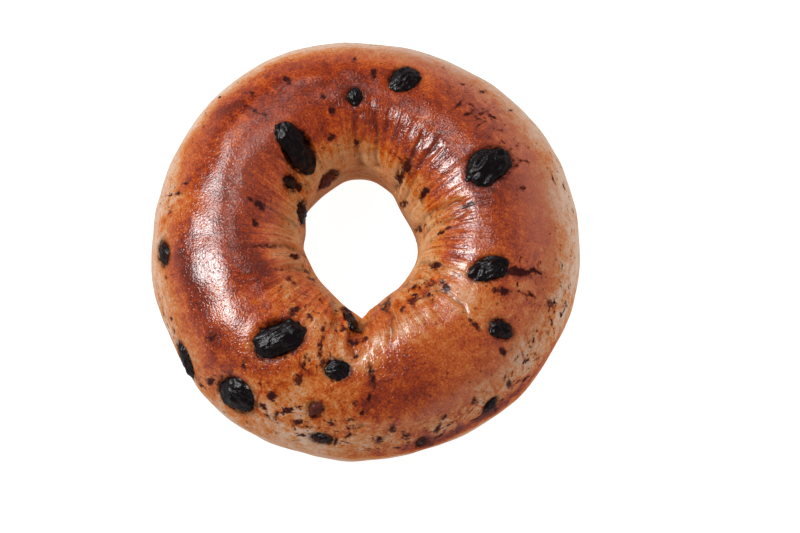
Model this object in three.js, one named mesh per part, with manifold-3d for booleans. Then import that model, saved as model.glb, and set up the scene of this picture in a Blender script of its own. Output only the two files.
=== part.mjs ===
// Cinnamon raisin bagel: one ring of baked dough with raisins set in its crust.
// Millimetres, +Z up. The origin is under the middle of the bagel, on the surface it rests on.
// Ring angles run counterclockwise from +X, seen from above. Section angles run round the
// dough: 0 outward, 90 up at the crown, 180 towards the hole, 270 down at the underside.
import * as THREE from 'three'
import { mergeVertices } from 'three/addons/utils/BufferGeometryUtils.js'
import Module from 'manifold-3d'

const wasm = await Module()
wasm.setup()
const { degToRad, smoothstep } = THREE.MathUtils

// Driving dimensions of the ring
const outerRadius = 52.2
const holeRadius = 13.4
const crownHeight = 35
const waistHeight = 15.5 // where the section is widest
const undersideReach = 1.28 // lower half, in waist heights, before the rest cuts it flat
const flatEdge = 2.2 // softness of the turn from the flat to the side
const crownLean = 1.6 // the crown lies this far towards the hole
const ringMiddle = { x: -0.6, y: -0.8 } // the ring's centre from the middle of its outline

// Where the outline and the crown depart from a true ring: ring angle, reach, millimetres
const outerSwells = [
  { at: 30, reach: 34, by: 1.3 },
  { at: 75, reach: 20, by: 0.4 },
  { at: 118, reach: 26, by: 2.1 },
  { at: 180, reach: 24, by: -0.5 },
  { at: 207, reach: 9, by: -0.8 },
  { at: 232, reach: 22, by: 0.6 },
  { at: 285, reach: 30, by: -0.5 },
  { at: 316, reach: 14, by: 0.6 },
  { at: 346, reach: 12, by: 0.7 },
]
const holeSwells = [
  { at: 50, reach: 20, by: -0.5 },
  { at: 92, reach: 34, by: 6.4 },
  { at: 150, reach: 30, by: 3.2 },
  { at: 161, reach: 13, by: -1.5 },
  { at: 200, reach: 16, by: -0.5 },
  { at: 264, reach: 22, by: 2.2 },
]
const crownSwells = [
  { at: 200, reach: 50, by: 0.8 },
  { at: 268, reach: 15, by: -1.6 },
  { at: 20, reach: 40, by: 0.6 },
  { at: 95, reach: 22, by: -0.5 },
]
const pinch = { at: 270, reach: 9, by: 3 } // the ends of the rope of dough meet here

// Furrows: their path as [ring angle, section angle], depth and half width in millimetres
const furrows = [
  { path: [[270, 150], [270, 138], [268, 120], [266, 106], [268, 88]], depth: 1.8, width: 1.6 },
  { path: [[247, 158], [251, 138], [256, 122], [257, 108]], depth: 1.1, width: 1.2 },
  { path: [[262, 33], [269, 43], [275, 48], [284, 52]], depth: 0.3, width: 0.7 },
  { path: [[91, 168], [93, 135], [91, 106]], depth: 0.8, width: 0.9 },
  { path: [[80, 162], [84, 104]], depth: 0.6, width: 0.9 },
  { path: [[62, 172], [60, 145], [57, 100]], depth: 0.7, width: 0.9 },
  { path: [[46, 168], [50, 132], [49, 98]], depth: 0.5, width: 0.9 },
  { path: [[18, 172], [18, 140], [14, 104]], depth: 0.6, width: 0.9 },
  { path: [[6, 160], [8, 104]], depth: 0.5, width: 0.9 },
  { path: [[138, 160], [138, 104]], depth: 0.5, width: 1 },
  { path: [[170, 162], [166, 112]], depth: 0.4, width: 1 },
  { path: [[192, 168], [191, 114]], depth: 0.5, width: 1 },
  { path: [[212, 160], [209, 118]], depth: 0.5, width: 1 },
  { path: [[286, 166], [288, 122], [284, 92]], depth: 0.6, width: 1 },
  { path: [[311, 166], [313, 128], [311, 104]], depth: 0.5, width: 0.9 },
  { path: [[321, 150], [321, 118], [319, 78]], depth: 0.5, width: 0.6 },
  { path: [[337, 158], [333, 116]], depth: 0.5, width: 0.9 },
]
const furrowFade = 12 // degrees of section over which a furrow dies out at its end

// Low bulges and hollows of the crust: place, reach and height in millimetres
const swells = [
  { ring: 243, section: 128, reach: 6, by: 0.9 },
  { ring: 288, section: 100, reach: 9, by: 0.7 },
  { ring: 333, section: 61, reach: 2.4, by: -0.4 },
  { ring: 124, section: 186, reach: 4, by: -1.6 },
  { ring: 252, section: 66, reach: 5, by: -0.6 },
  { ring: 140, section: 60, reach: 12, by: 0.5 },
  { ring: 60, section: 340, reach: 14, by: -0.5 },
  { ring: 305, section: 20, reach: 9, by: -0.5 },
]

// The raisins: where they sit, their length and width at the crust, how far they stand
// proud of it, and the turn of their length from the ring's direction
const raisins = [
  { ring: 127.6, section: 120, long: 14.6, wide: 6.9, proud: 1.2, turn: 88, waist: 0.12 },
  { ring: 75, section: 73.5, long: 8.6, wide: 6.7, proud: 1.2, turn: 60, waist: 0 },
  { ring: 26, section: 84.5, long: 12, wide: 9.4, proud: 1.5, turn: 102, waist: 0 },
  { ring: 340, section: 89.5, long: 9.6, wide: 6.3, proud: 1.2, turn: 132, waist: 0.06 },
  { ring: 322.8, section: 61.5, long: 5.9, wide: 4.5, proud: 1, turn: 112, waist: 0 },
  { ring: 261.2, section: 82.5, long: 5.9, wide: 5.2, proud: 1.1, turn: 12, waist: 0 },
  { ring: 235.6, section: 84.4, long: 13, wide: 9.2, proud: 1.4, turn: 56, waist: 0.22 },
  { ring: 233.4, section: 33, long: 10.6, wide: 9.2, proud: 1.2, turn: 4, waist: 0 },
  { ring: 214.8, section: 14, long: 9.2, wide: 6.4, proud: 0.7, turn: 156, waist: 0 },
  { ring: 185.5, section: 35.5, long: 6.8, wide: 4.6, proud: 0.5, turn: 5, waist: 0 },
  { ring: 93, section: 97, long: 4.6, wide: 3.6, proud: 0.8, turn: 80, waist: 0 },
  { ring: 153.5, section: 162, long: 6.8, wide: 4.8, proud: 1, turn: 100, waist: 0 },
  { ring: 117.5, section: 169, long: 7.4, wide: 4.4, proud: 0, turn: 86, waist: 0.2 },
  { ring: 143.6, section: 136.5, long: 5.6, wide: 3.2, proud: 0.15, turn: 98, waist: 0.2 },
  { ring: 264, section: 136.5, long: 6.4, wide: 3.9, proud: 0.5, turn: 118, waist: 0 },
  { ring: 259.6, section: 26, long: 5.8, wide: 3.6, proud: 0.2, turn: 4, waist: 0.1 },
  { ring: 307, section: 19, long: 4.6, wide: 3.2, proud: 0.15, turn: 36, waist: 0.1 },
  { ring: 286, section: 14, long: 4, wide: 2.9, proud: 0.15, turn: 70, waist: 0.1 },
  { ring: 256.5, section: 50.5, long: 3.8, wide: 3.4, proud: 0.45, turn: 60, waist: 0 },
  { ring: 62, section: 347, long: 9, wide: 6.6, proud: 0.9, turn: 24, waist: 0 },
  { ring: 101, section: 346, long: 6.2, wide: 5, proud: 0.8, turn: 130, waist: 0 },
  { ring: 158, section: 345, long: 8, wide: 6, proud: 1, turn: 160, waist: 0.1 },
  { ring: 8, section: 342, long: 7, wide: 5.2, proud: 0.9, turn: 12, waist: 0 },
  { ring: 20, section: 198, long: 6, wide: 4.6, proud: 0.7, turn: 60, waist: 0 },
  { ring: 201, section: 262, long: 9, wide: 6.4, proud: 0.9, turn: 35, waist: 0 },
  { ring: 43, section: 278, long: 7, wide: 5.6, proud: 0.8, turn: 110, waist: 0 },
]
const raisinDepth = 0.36 // half thickness over width
const crustShare = 0.92 // length at the crust over the greatest length
const raisinGap = 0.3 // clear space round each raisin
const raisinFlat = 0.1 // raisins in the underside are pressed flat at this height
const pocketRim = { reach: 1.5, by: 0.4 } // the crust is drawn down round a raisin

// Fineness of the meshes
const ringSteps = 100
const upperSteps = 21
const undersideRows = [12, 24, 35, 45, 55, 66] // section angles below the waist, on either side
const raisinFineness = [
  { over: 9, sides: 14, rings: 8 },
  { over: 5.5, sides: 10, rings: 6 },
  { over: 0, sides: 8, rings: 5 },
]

const colours = { dough: 0xa55523, raisin: 0x1c1216 }

// Signed difference of two angles in degrees, from -180 to 180
function turnFrom(angle, at) {
  return THREE.MathUtils.euclideanModulo(angle - at + 180, 360) - 180
}

function sumOfSwells(angle, list) {
  return list.reduce((sum, { at, reach, by }) => sum + by * Math.exp(-((turnFrom(angle, at) / reach) ** 2)), 0)
}

function softFloor(height) {
  if (height > flatEdge) return height
  if (height < -flatEdge) return 0
  return (height + flatEdge) ** 2 / (4 * flatEdge)
}

// The plain dough without furrows, as a point in the ring's own frame
function plainPoint(ring, section) {
  const outer = outerRadius + sumOfSwells(ring, outerSwells)
  const pinched = pinch.by * Math.exp(-Math.abs(turnFrom(ring, pinch.at)) / pinch.reach)
  const hole = holeRadius + sumOfSwells(ring, holeSwells) + pinched
  const crown = crownHeight + sumOfSwells(ring, crownSwells)
  const across = Math.cos(degToRad(section))
  const up = Math.sin(degToRad(section))
  const lean = up > 0 ? crownLean * up ** 2 : 0
  const radius = (outer + hole) / 2 + across * (outer - hole) / 2 - lean
  const height = up > 0
    ? waistHeight + (crown - waistHeight) * up ** 0.96
    : softFloor(waistHeight * (1 + undersideReach * up))
  const angle = degToRad(ring)
  return new THREE.Vector3(radius * Math.cos(angle), radius * Math.sin(angle), height)
}

// Directions on the plain dough: along the ring, across it towards the hole, and out of the crust
function crustAxes(ring, section) {
  const step = 0.5
  const along = plainPoint(ring + step, section).sub(plainPoint(ring - step, section)).normalize()
  const around = plainPoint(ring, section + step).sub(plainPoint(ring, section - step)).normalize()
  const out = new THREE.Vector3().crossVectors(along, around).normalize()
  const across = new THREE.Vector3().crossVectors(out, along)
  return { along, across, out }
}

// Millimetres on the crust from one place to another: along the ring and across it
function crustOffset(ring, section, toRing, toSection) {
  const middle = (outerRadius + holeRadius) / 2
  const halfWidth = (outerRadius - holeRadius) / 2
  const radius = middle + halfWidth * Math.cos(degToRad(section))
  return new THREE.Vector2(
    degToRad(turnFrom(ring, toRing)) * radius,
    degToRad(turnFrom(section, toSection)) * halfWidth,
  )
}

// Nearest distance from a place on the crust to a furrow's path
function furrowDistance(ring, section, path) {
  let nearest = Infinity
  for (let i = 1; i < path.length; i += 1) {
    const [start, end] = [path[i - 1], path[i]]
    const away = crustOffset(ring, section, ...start)
    const leg = new THREE.Vector2(
      crustOffset(end[0], section, start[0], section).x,
      crustOffset(ring, end[1], ring, start[1]).y,
    )
    const share = THREE.MathUtils.clamp(away.dot(leg) / leg.lengthSq(), 0, 1)
    nearest = Math.min(nearest, away.addScaledVector(leg, -share).length())
  }
  return nearest
}

// Height of the crust over the plain dough
function relief(ring, section) {
  const turned = THREE.MathUtils.euclideanModulo(section, 360)
  let height = 0
  for (const { path, depth, width } of furrows) {
    const [upper, lower] = [path[0][1], path.at(-1)[1]].sort((a, b) => b - a)
    const fade = smoothstep(turned, lower, lower + furrowFade)
      * (1 - smoothstep(turned, upper, upper + furrowFade))
    if (fade > 0) height -= depth * fade * Math.exp(-((furrowDistance(ring, section, path) / width) ** 2))
  }
  for (const swell of swells) {
    const away = crustOffset(ring, section, swell.ring, swell.section).length()
    height += swell.by * Math.exp(-((away / swell.reach) ** 2))
  }
  for (const raisin of raisins) {
    const offset = crustOffset(ring, section, raisin.ring, raisin.section)
    offset.rotateAround(new THREE.Vector2(), -degToRad(raisin.turn))
    const away = Math.hypot(offset.x, offset.y * raisin.long / raisin.wide) - raisin.long / 2
    height -= pocketRim.by * Math.exp(-((Math.max(away, 0) / pocketRim.reach) ** 2))
  }
  return height
}

function doughPoint(ring, section) {
  const point = plainPoint(ring, section)
  if (point.z < flatEdge / 4 && section > 180) return point
  return point.addScaledVector(crustAxes(ring, section).out, relief(ring, section))
}

// Section angles of the mesh rows: even on the upper half, then closest at the lower corners
const sections = [
  ...Array.from({ length: upperSteps + 1 }, (_, i) => 180 * i / upperSteps),
  ...undersideRows.map((angle) => 180 + angle),
  ...undersideRows.map((angle) => 360 - angle).reverse(),
]

function doughGeometry() {
  const positions = []
  const faces = []
  const rows = sections.length
  for (let i = 0; i < ringSteps; i += 1) {
    for (let j = 0; j < rows; j += 1) {
      positions.push(...doughPoint(360 * i / ringSteps, sections[j]))
      const a = i * rows + j
      const b = (i + 1) % ringSteps * rows + j
      const c = (i + 1) % ringSteps * rows + (j + 1) % rows
      const d = i * rows + (j + 1) % rows
      faces.push(a, b, c, a, c, d)
    }
  }
  return indexedGeometry(positions, faces)
}

function indexedGeometry(positions, faces) {
  const geometry = new THREE.BufferGeometry()
  geometry.setAttribute('position', new THREE.Float32BufferAttribute(positions, 3))
  geometry.setIndex(faces)
  geometry.computeVertexNormals()
  return geometry
}

// A wrinkled, flattened raisin in its own frame: length on x, width on y, out of the crust on z
function raisinShape({ long, wide, waist }, seed, grow) {
  const { sides, rings } = raisinFineness.find(({ over }) => long > over)
  const half = new THREE.Vector3(long / 2, wide / 2, wide * raisinDepth * crustShare)
  half.divideScalar(crustShare).addScalar(grow)
  const positions = [half.x, 0, 0]
  for (let i = 1; i < rings; i += 1) {
    const polar = Math.PI * i / rings
    const narrow = 1 - waist * Math.exp(-((Math.cos(polar) / 0.35) ** 2))
    for (let j = 0; j < sides; j += 1) {
      const turn = 2 * Math.PI * j / sides
      const wrinkle = 1 + 0.05 * Math.cos(3 * turn + 2 * polar + seed) + 0.03 * Math.cos(5 * turn - 3 * polar + 2 * seed)
      positions.push(
        half.x * Math.cos(polar),
        half.y * Math.sin(polar) * Math.cos(turn) * narrow * wrinkle,
        half.z * Math.sin(polar) * Math.sin(turn) * wrinkle,
      )
    }
  }
  positions.push(-half.x, 0, 0)
  const last = positions.length / 3 - 1
  const faces = []
  for (let j = 0; j < sides; j += 1) {
    const next = (j + 1) % sides
    faces.push(0, 1 + j, 1 + next)
    for (let i = 0; i < rings - 2; i += 1) {
      const near = 1 + i * sides
      const far = near + sides
      faces.push(near + j, far + j, far + next, near + j, far + next, near + next)
    }
    faces.push(last, last - sides + next, last - sides + j)
  }
  return indexedGeometry(positions, faces)
}

// Sets a raisin's geometry in the crust
function placeRaisin(geometry, { ring, section, turn, wide, proud }) {
  const { along, across, out } = crustAxes(ring, section)
  const axes = new THREE.Matrix4().makeBasis(along, across, out)
  const centre = plainPoint(ring, section).addScaledVector(out, proud - wide * raisinDepth)
  return geometry
    .applyMatrix4(new THREE.Matrix4().makeRotationZ(degToRad(turn)))
    .applyMatrix4(axes)
    .translate(...centre)
}

function flattened(geometry) {
  const { position } = geometry.attributes
  for (let i = 0; i < position.count; i += 1) {
    position.setZ(i, Math.max(position.getZ(i), raisinFlat))
  }
  return geometry
}

function solidOf(geometry) {
  const bare = geometry.clone()
  bare.deleteAttribute('normal')
  const merged = mergeVertices(bare)
  return new wasm.Manifold(new wasm.Mesh({
    numProp: 3,
    vertProperties: new Float32Array(merged.attributes.position.array),
    triVerts: new Uint32Array(merged.index.array),
  }))
}

function geometryOf(solid) {
  const mesh = solid.getMesh()
  return indexedGeometry(Array.from(mesh.vertProperties), Array.from(mesh.triVerts))
}

function doughWithPockets() {
  let solid = solidOf(doughGeometry())
  raisins.forEach((raisin, i) => {
    solid = solid.subtract(solidOf(placeRaisin(raisinShape(raisin, i, raisinGap), raisin)))
  })
  return geometryOf(solid)
}

function namedMesh(name, geometry, colour, roughness) {
  const mesh = new THREE.Mesh(geometry, new THREE.MeshStandardMaterial({ color: colour, roughness, metalness: 0 }))
  mesh.name = name
  return mesh
}

const bagel = new THREE.Group()
bagel.add(namedMesh('dough', doughWithPockets(), colours.dough, 0.4))
raisins.forEach((raisin, i) => {
  const name = `raisin_${String(i + 1).padStart(2, '0')}`
  const geometry = flattened(placeRaisin(raisinShape(raisin, i, 0), raisin))
  bagel.add(namedMesh(name, geometry, colours.raisin, 0.3))
})
bagel.position.set(ringMiddle.x, ringMiddle.y, 0)

export default bagel
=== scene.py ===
# Cinnamon raisin bagel on a pale table in soft studio light
import math

import bpy
import numpy as np
from mathutils import Matrix, Vector


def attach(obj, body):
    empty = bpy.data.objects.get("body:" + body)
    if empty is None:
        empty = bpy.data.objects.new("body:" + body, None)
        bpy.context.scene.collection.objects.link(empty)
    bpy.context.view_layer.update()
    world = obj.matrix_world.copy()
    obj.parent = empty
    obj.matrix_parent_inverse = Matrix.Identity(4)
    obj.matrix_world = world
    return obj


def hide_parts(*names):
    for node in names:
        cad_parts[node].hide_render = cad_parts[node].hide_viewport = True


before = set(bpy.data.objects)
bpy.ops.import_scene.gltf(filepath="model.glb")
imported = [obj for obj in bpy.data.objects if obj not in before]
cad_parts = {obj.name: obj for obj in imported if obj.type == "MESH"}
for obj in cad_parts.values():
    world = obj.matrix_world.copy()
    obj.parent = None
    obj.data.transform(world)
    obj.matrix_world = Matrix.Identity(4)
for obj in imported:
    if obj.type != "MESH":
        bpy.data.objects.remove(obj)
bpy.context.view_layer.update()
scene = bpy.context.scene
mm = 0.001

# The ring of dough. Lengths in millimetres, angles in degrees. Ring angles run counterclockwise
# from +X, section angles from 0 outward over 90 at the crown and 180 at the hole to 270 below.
ringSizes = {
    "outerRadius": 52.2,
    "holeRadius": 13.4,
    "crownHeight": 35.0,
    "waistHeight": 15.5,
    "undersideReach": 1.28,
    "flatEdge": 2.2,
    "crownLean": 1.6,
    "crownCurve": 0.96,  # a fuller crown below 1
    "middle": (-0.6, -0.8, 0.0),
    "pinchAt": 270.0,
    "pinchReach": 9.0,
    "pinchBy": 3.0,
}
# ring angle, reach, millimetres
outerSwells = [(30, 34, 1.3), (75, 20, 0.4), (118, 26, 2.1), (180, 24, -0.5), (207, 9, -0.8),
               (232, 22, 0.6), (285, 30, -0.5), (316, 14, 0.6), (346, 12, 0.7)]
holeSwells = [(50, 20, -0.5), (92, 34, 6.4), (150, 30, 3.2), (161, 13, -1.5), (200, 16, -0.5),
              (264, 22, 2.2)]
crownSwells = [(200, 50, 0.8), (268, 15, -1.6), (20, 40, 0.6), (95, 22, -0.5)]

# Furrows: path of (ring angle, section angle), depth, half width
furrows = [
    ([(270, 150), (270, 138), (268, 120), (266, 106), (268, 88)], 1.8, 1.6),
    ([(247, 158), (251, 138), (256, 122), (257, 108)], 1.1, 1.2),
    ([(262, 33), (266, 38), (270, 43)], 0.3, 0.5),
    ([(91, 168), (93, 135), (91, 106)], 0.8, 0.9),
    ([(80, 162), (84, 104)], 0.6, 0.9),
    ([(62, 172), (60, 145), (57, 100)], 0.7, 0.9),
    ([(46, 168), (50, 132), (49, 98)], 0.5, 0.9),
    ([(18, 172), (18, 140), (14, 104)], 0.6, 0.9),
    ([(6, 160), (8, 104)], 0.5, 0.9),
    ([(138, 160), (138, 104)], 0.5, 1.0),
    ([(170, 162), (166, 112)], 0.4, 1.0),
    ([(192, 168), (191, 114)], 0.5, 1.0),
    ([(212, 160), (209, 118)], 0.5, 1.0),
    ([(286, 166), (288, 122), (284, 92)], 0.6, 1.0),
    ([(311, 166), (313, 128), (311, 104)], 0.5, 0.9),
    ([(321, 150), (321, 118), (319, 78)], 0.5, 0.6),
    ([(337, 158), (333, 116)], 0.5, 0.9),
]
furrowFade = 12.0  # degrees in which a furrow's ends die away
furrowWobble = [(0.9, 0.17, 1.0), (0.5, 0.41, 0.7)]  # degrees along the ring, pace, shift

# Low bulges and hollows: ring angle, section angle, reach, height
swells = [(243, 128, 6, 0.9), (288, 100, 9, 0.7), (333, 61, 2.4, -0.4), (124, 186, 4, -1.6),
          (252, 66, 5, -0.6), (140, 60, 12, 0.5), (60, 340, 14, -0.5), (305, 20, 9, -0.5)]

# Raisins: ring angle, section angle, length, width, how proud, turn, waist, taper, veil of dough
raisins = [
    (127.6, 120, 14.6, 6.9, 1.2, 88, 0.12, -0.16, 0.0),
    (75, 73.5, 8.6, 6.7, 1.2, 60, 0.0, -0.08, 0.0),
    (26, 84.5, 12.0, 9.4, 1.5, 102, 0.0, 0.12, 0.0),
    (340, 89.5, 9.6, 6.3, 1.2, 132, 0.06, -0.1, 0.0),
    (322.8, 61.5, 5.9, 4.5, 1.0, 112, 0.0, 0.05, 0.0),
    (261.2, 82.5, 5.9, 5.2, 1.1, 12, 0.0, 0.1, 0.0),
    (235.6, 84.4, 13.0, 9.2, 1.4, 56, 0.22, 0.04, 0.0),
    (233.4, 33, 10.6, 9.2, 1.2, 4, 0.0, -0.06, 0.0),
    (214.8, 14, 9.2, 6.4, 0.7, 156, 0.0, 0.0, 0.1),
    (185.5, 35.5, 6.8, 4.6, 0.5, 5, 0.0, 0.1, 0.2),
    (93, 97, 4.6, 3.6, 0.8, 80, 0.0, 0.0, 0.0),
    (153.5, 162, 6.8, 4.8, 1.0, 100, 0.0, -0.15, 0.05),
    (117.5, 169, 7.4, 4.4, 0.0, 86, 0.2, 0.1, 0.7),
    (143.6, 136.5, 5.6, 3.2, 0.15, 98, 0.2, 0.1, 0.05),
    (264, 136.5, 6.4, 3.9, 0.5, 118, 0.0, 0.1, 0.15),
    (259.6, 26, 5.8, 3.6, 0.2, 4, 0.1, 0.1, 0.2),
    (307, 19, 4.6, 3.2, 0.15, 36, 0.1, 0.1, 0.2),
    (286, 14, 4.0, 2.9, 0.15, 70, 0.1, 0.1, 0.3),
    (256.5, 50.5, 3.8, 3.4, 0.45, 60, 0.0, 0.0, 0.6),
    (62, 347, 9.0, 6.6, 0.9, 24, 0.0, 0.1, 0.0),
    (101, 346, 6.2, 5.0, 0.8, 130, 0.0, -0.1, 0.1),
    (158, 345, 8.0, 6.0, 1.0, 160, 0.1, 0.1, 0.0),
    (8, 342, 7.0, 5.2, 0.9, 12, 0.0, -0.1, 0.1),
    (20, 198, 6.0, 4.6, 0.7, 60, 0.0, 0.1, 0.2),
    (201, 262, 9.0, 6.4, 0.9, 35, 0.0, 0.1, 0.3),
    (43, 278, 7.0, 5.6, 0.8, 110, 0.0, -0.1, 0.3),
]
raisinSizes = {
    "halfDepth": 0.36,  # over its width
    "crustShare": 0.92,  # length at the crust over the greatest length
    "pressedFlatAt": 0.1,  # the tray presses the underside's raisins flat
    "waistSharpness": 8.0,
    "wrinkleDepth": 1.1,
    "wrinkleSize": 2.4,
    "lumpDepth": 1.5,
    "lumpSize": 4.4,
    "smallBelow": 6.0,  # the width under which wrinkles and lumps shrink with the raisin
    "lumpDetail": (1.0, 0.5),  # of the noise, and the roughness of its details
    "wrinkleDetail": (2.0, 0.55),
    "lengthwise": 0.55,  # wrinkles run along the raisin below 1
    "foldSteepness": 3.0,
    "foldLow": 0.4,  # how far valleys sink and ridges rise, over the wrinkles' depth
    "foldHigh": 0.2,
    "fineness": 5,
}

# How the crust meets a raisin: a dip beside it, and a pocket that deepens inside its edge
pocketRim = {"reach": 1.1, "by": 0.2, "under": 1.3, "underSpan": (-1.3, -0.2)}


def put(tree, kind, inputs=None, **settings):
    node = tree.nodes.new(kind)
    for name, value in settings.items():
        setattr(node, name, value)
    for key, value in (inputs or {}).items():
        if isinstance(value, bpy.types.NodeSocket):
            tree.links.new(value, node.inputs[key])
        else:
            node.inputs[key].default_value = value
    return node


def maths(tree, operation, a, b=0.0, c=0.0):
    return put(tree, "ShaderNodeMath", {0: a, 1: b, 2: c}, operation=operation).outputs[0]


def screenColour(red, green, blue):
    # a colour as seen on screen, 0 to 255, in the renderer's linear values
    def linear(value):
        value /= 255.0
        return value / 12.92 if value <= 0.04045 else ((value + 0.055) / 1.055) ** 2.4
    return (linear(red), linear(green), linear(blue), 1.0)


def turnFrom(angle, at):
    return (angle - at + 180.0) % 360.0 - 180.0


def sumOfSwells(angle, swellList):
    return sum(by * np.exp(-(turnFrom(angle, at) / reach) ** 2) for at, reach, by in swellList)


def smoothStep(x, low, high):
    share = np.clip((x - low) / (high - low), 0.0, 1.0)
    return share * share * (3.0 - 2.0 * share)


def softFloor(height):
    edge = ringSizes["flatEdge"]
    bent = (height + edge) ** 2 / (4.0 * edge)
    return np.where(height > edge, height, np.where(height < -edge, 0.0, bent))


def plainPoint(ring, section):
    # the dough before any furrow, in millimetres
    sizes = ringSizes
    waist = sizes["waistHeight"]
    outer = sizes["outerRadius"] + sumOfSwells(ring, outerSwells)
    pinched = sizes["pinchBy"] * np.exp(-np.abs(turnFrom(ring, sizes["pinchAt"])) / sizes["pinchReach"])
    hole = sizes["holeRadius"] + sumOfSwells(ring, holeSwells) + pinched
    crown = sizes["crownHeight"] + sumOfSwells(ring, crownSwells)
    across = np.cos(np.radians(section))
    up = np.sin(np.radians(section))
    above = np.maximum(up, 0.0)
    radius = (outer + hole) / 2 + across * (outer - hole) / 2 - sizes["crownLean"] * above ** 2
    top = waist + (crown - waist) * above ** sizes["crownCurve"]
    low = softFloor(waist * (1.0 + sizes["undersideReach"] * np.minimum(up, 0.0)))
    height = np.where(up > 0, top, low)
    angle = np.radians(ring)
    return np.stack([radius * np.cos(angle), radius * np.sin(angle), height], -1)


def unit(vectors):
    return vectors / np.linalg.norm(vectors, axis=-1, keepdims=True)


def crustAxes(ring, section, step=0.5):
    # directions along the ring, across it and out of the crust
    along = unit(plainPoint(ring + step, section) - plainPoint(ring - step, section))
    around = plainPoint(ring, section + step) - plainPoint(ring, section - step)
    out = unit(np.cross(along, around))
    return along, np.cross(out, along), out


def crustOffset(ring, section, fromRing, fromSection):
    # millimetres on the crust from one place to each place: along the ring, across it
    middle = (ringSizes["outerRadius"] + ringSizes["holeRadius"]) / 2
    half = (ringSizes["outerRadius"] - ringSizes["holeRadius"]) / 2
    radius = middle + half * np.cos(np.radians(section))
    return (np.radians(turnFrom(ring, fromRing)) * radius,
            np.radians(turnFrom(section, fromSection)) * half)


def pathDistance(ring, section, path):
    nearest = np.full(ring.shape, np.inf)
    for start, end in zip(path, path[1:]):
        x, y = crustOffset(ring, section, *start)
        legX = crustOffset(end[0], section, start[0], 0.0)[0]
        legY = crustOffset(0.0, end[1], 0.0, start[1])[1]
        share = np.clip((x * legX + y * legY) / (legX * legX + legY * legY), 0.0, 1.0)
        nearest = np.minimum(nearest, np.hypot(x - share * legX, y - share * legY))
    return nearest


def ovalDistance(ring, section, place, length, width, turn):
    # how far outside an oval on the crust each place is, in millimetres
    x, y = crustOffset(ring, section, *place)
    cosine, sine = math.cos(math.radians(turn)), math.sin(math.radians(turn))
    along, across = x * cosine + y * sine, y * cosine - x * sine
    return np.hypot(along, across * length / width) - length / 2


def furrowDepth(ring, section, path, depth, width):
    low, high = sorted((path[0][1], path[-1][1]))
    fade = smoothStep(section, low, low + furrowFade) * (1 - smoothStep(section, high, high + furrowFade))
    wavy = ring
    for by, pace, shift in furrowWobble:
        wavy = wavy + by * np.sin(section * pace + path[0][0] * shift)
    return depth * fade * np.exp(-(pathDistance(wavy, section, path) / width) ** 2)


def raisinDistance(ring, section, row):
    atRing, atSection, length, width, _, turn = row[:6]
    return ovalDistance(ring, section, (atRing, atSection), length, width, turn)


def crustRelief(ring, section):
    turned = section % 360.0
    height = -sum(furrowDepth(ring, turned, *furrow) for furrow in furrows)
    for atRing, atSection, reach, by in swells:
        x, y = crustOffset(ring, section, atRing, atSection)
        height = height + by * np.exp(-(x * x + y * y) / reach ** 2)
    for row in raisins:
        away = raisinDistance(ring, section, row)
        rim = pocketRim["by"] * np.exp(-(np.maximum(away, 0) / pocketRim["reach"]) ** 2)
        under = pocketRim["under"] * (1 - smoothStep(away, *pocketRim["underSpan"]))
        height = height - rim - under
    return height


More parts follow.
